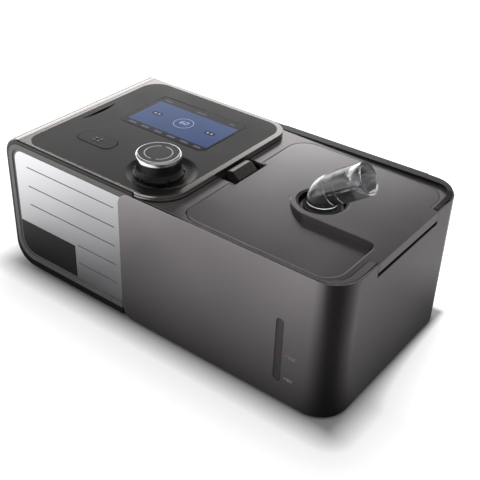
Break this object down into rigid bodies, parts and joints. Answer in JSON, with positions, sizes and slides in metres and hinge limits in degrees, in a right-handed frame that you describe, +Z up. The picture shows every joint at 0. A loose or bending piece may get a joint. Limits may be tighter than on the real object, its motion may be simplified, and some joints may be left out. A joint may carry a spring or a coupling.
{
  "type": "bilevel pap machine",
  "caption": "Bedside breathing machine: dark housing with display console and turn-and-press knob at left, humidifier under a hinged lid with a swivel hose elbow at right.",
  "frame": {"origin": "centre of the footprint, on the surface that the rubber feet stand on", "axes": "+X along the front to the humidifier end, +Y from the front to the back, +Z up"},
  "size_m": [0.278, 0.148, 0.136],
  "materials": {
    "shell_grey": "satin",
    "frame_black": "satin",
    "bezel_grey": "satin",
    "panel_silver": "satin silver",
    "cover_grey": "satin",
    "lid_grey": "satin",
    "fascia_grey": "satin",
    "display_blue": "gloss",
    "steel": "brushed",
    "chrome": "polished",
    "aluminium": "satin",
    "board_green": "satin",
    "smoke_clear": "clear smoke",
    "rubber_black": "matte",
    "silicone_grey": "matte",
    "foam_grey": "open foam",
    "filter_white": "felt",
    "winding": "wound",
    "magnet_iron": "plated",
    "insulator_board": "matte",
    "fan_plastic": "satin"
  },
  "bodies": {
    "housing": {"base_tray": "frame_black", "left_shell": "shell_grey", "front_rim": "frame_black", "front_bezel": "bezel_grey", "front_panel": "panel_silver", "front_badge": "frame_black", "wrap_cover": "cover_grey", "level_window": "smoke_clear", "top_frame": "lid_grey", "rear_panel": "frame_black", "console_case": "shell_grey", "console_fascia": "fascia_grey", "display_lens": "display_blue", "display_module": "steel", "slot_insert": "frame_black", "main_board": "board_green", "encoder_body": "steel", "button_switch": "frame_black", "alarm_buzzer": "frame_black", "blower_lower": "frame_black", "blower_upper": "frame_black", "motor_stator": "winding", "rotor_bearings": "steel", "blower_mounts": "rubber_black", "inlet_box": "frame_black", "muffler_foam": "foam_grey", "air_filter": "filter_white", "outlet_duct": "silicone_grey", "duct_seal": "rubber_black", "power_socket": "frame_black", "heater_plate": "aluminium", "heater_insulator": "insulator_board", "chamber_cradle": "frame_black", "water_tub": "smoke_clear", "tub_base_plate": "aluminium", "chamber_seal": "silicone_grey", "chamber_top": "smoke_clear", "hinge_pin": "steel", "rubber_feet": "rubber_black", "case_screws": "steel", "latch_spring": "steel"},
    "chamber_lid": {"lid_shell": "lid_grey", "lid_liner": "frame_black", "lid_seal": "silicone_grey", "elbow_seat_ring": "frame_black", "lid_screws": "steel"},
    "latch": {"lid_latch": "frame_black"},
    "hose_elbow": {"elbow": "smoke_clear", "elbow_seal": "rubber_black"},
    "encoder_push": {"encoder_plunger": "steel"},
    "control_knob": {"encoder_shaft": "steel", "knob_grip": "frame_black", "knob_ring": "chrome", "knob_disc": "frame_black"},
    "home_key": {"home_button": "fascia_grey"},
    "blower_rotor": {"impeller": "fan_plastic", "rotor_magnet": "magnet_iron", "rotor_shaft": "steel"},
    "filter_door": {"filter_cover": "frame_black"}
  },
  "joints": [
    {"name": "lid_hinge", "type": "hinge", "parent": "housing", "child": "chamber_lid", "pos_m": [0.136, 0.00275, 0.096], "axis": [0, 1, 0], "range_deg": [0, 90]},
    {"name": "elbow_swivel", "type": "hinge", "parent": "chamber_lid", "child": "hose_elbow", "pos_m": [0.076, 0.001, 0.1], "axis": [0, 0, 1], "continuous": true},
    {"name": "latch_press", "type": "slide", "parent": "housing", "child": "latch", "axis": [-1, 0, 0], "range_m": [0, 0.0015], "stiffness_N_per_m": 300, "springref_m": -0.002},
    {"name": "knob_press", "type": "slide", "parent": "housing", "child": "encoder_push", "axis": [0, 0, -1], "range_m": [0, 0.0006], "stiffness_N_per_m": 600, "springref_m": -0.002},
    {"name": "knob_turn", "type": "hinge", "parent": "encoder_push", "child": "control_knob", "pos_m": [-0.021, -0.045, 0.106], "axis": [0, 0, 1], "continuous": true},
    {"name": "home_press", "type": "slide", "parent": "housing", "child": "home_key", "axis": [0, 0, -1], "range_m": [0, 0.0008], "stiffness_N_per_m": 200, "springref_m": -0.002},
    {"name": "blower_spin", "type": "hinge", "parent": "housing", "child": "blower_rotor", "pos_m": [-0.059, -0.004, 0.03], "axis": [0, 0, 1], "continuous": true},
    {"name": "filter_pull", "type": "slide", "parent": "housing", "child": "filter_door", "axis": [0, 1, 0], "range_m": [0, 0.012]}
  ]
}
